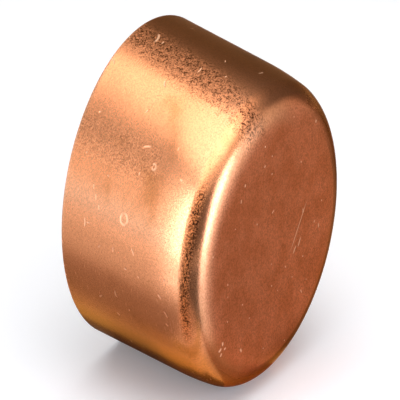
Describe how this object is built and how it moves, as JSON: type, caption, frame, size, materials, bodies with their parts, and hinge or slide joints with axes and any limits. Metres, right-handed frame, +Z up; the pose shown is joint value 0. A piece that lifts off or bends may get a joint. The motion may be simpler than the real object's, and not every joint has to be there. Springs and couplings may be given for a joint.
{
  "type": "pipe cap",
  "caption": "Copper end cap for soldered tube: a drawn cup with an open round socket and a flat closed end with a rounded corner.",
  "frame": {"origin": "centre of the mouth, in the plane of the rim", "axes": "+X along the cap's axis from the mouth to the closed end, +Z up with the cap lying on its side"},
  "size_m": [0.0383, 0.0572, 0.0572],
  "materials": {
    "copper": "bright drawn copper, satin, lightly tarnished and scuffed"
  },
  "bodies": {
    "root": {"cap_shell": "copper"}
  },
  "joints": []
}
